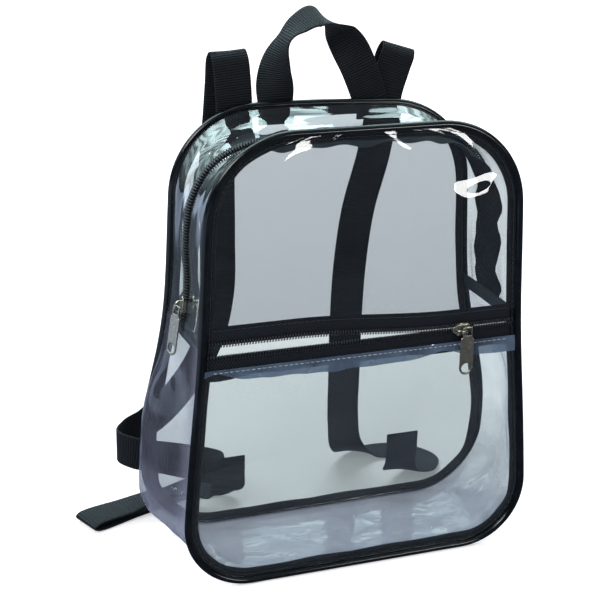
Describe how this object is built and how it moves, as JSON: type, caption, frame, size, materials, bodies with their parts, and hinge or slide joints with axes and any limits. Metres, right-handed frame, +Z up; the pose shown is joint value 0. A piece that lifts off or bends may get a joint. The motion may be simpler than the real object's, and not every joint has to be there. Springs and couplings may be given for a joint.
{
  "type": "clear backpack",
  "caption": "Small clear vinyl backpack with black piped edges, a zip over the top, a zipped front pocket standing partly open, a webbing grab handle and two webbing shoulder straps",
  "frame": {"origin": "middle of the base, on the ground, halfway between the front and back panels", "axes": "+Z up, the front with the pocket faces -Y, +X to the right seen from the front"},
  "size_m": [0.3109, 0.1708, 0.3648],
  "materials": {
    "vinyl": "clear glossy sheet, slightly grey",
    "piping": "black vinyl over cord, glossy",
    "tape": "black woven polyester",
    "coil": "black nylon coil",
    "webbing": "black ribbed webbing",
    "metal": "warm nickel, satin"
  },
  "bodies": {
    "bag": {"front_upper_panel": "vinyl", "front_pocket_panel": "vinyl", "pocket_back_panel": "vinyl", "back_panel": "vinyl", "gusset_bottom": "vinyl", "gusset_top_front": "vinyl", "gusset_top_back": "vinyl", "gusset_joint_right": "tape", "gusset_joint_left": "tape", "main_zip_tape_front": "tape", "main_zip_tape_back": "tape", "main_zip_coil": "coil", "front_piping": "piping", "back_piping": "piping", "front_seam_binding": "tape", "back_seam_binding": "tape", "pocket_zip_tape_lower": "tape", "pocket_zip_tape_upper": "tape", "pocket_zip_coil_lower": "coil", "pocket_zip_coil_upper": "coil", "main_zip_slider": "metal", "pocket_zip_slider": "metal", "grab_handle": "webbing", "shoulder_strap_left": "webbing", "shoulder_strap_right": "webbing"},
    "main_pull": {"main_zip_pull": "metal"},
    "pocket_pull": {"pocket_zip_pull": "metal"}
  },
  "joints": [
    {"name": "main_pull_swing", "type": "hinge", "parent": "bag", "child": "main_pull", "pos_m": [-0.11453, 0.00339, 0.18426], "axis": [-0.3397, 0.9397, 0.0399], "range_deg": [0, 140]},
    {"name": "pocket_pull_swing", "type": "hinge", "parent": "bag", "child": "pocket_pull", "pos_m": [0.0708, -0.04456, 0.1645], "axis": [0, 1, 0], "range_deg": [-75, 35]}
  ]
}
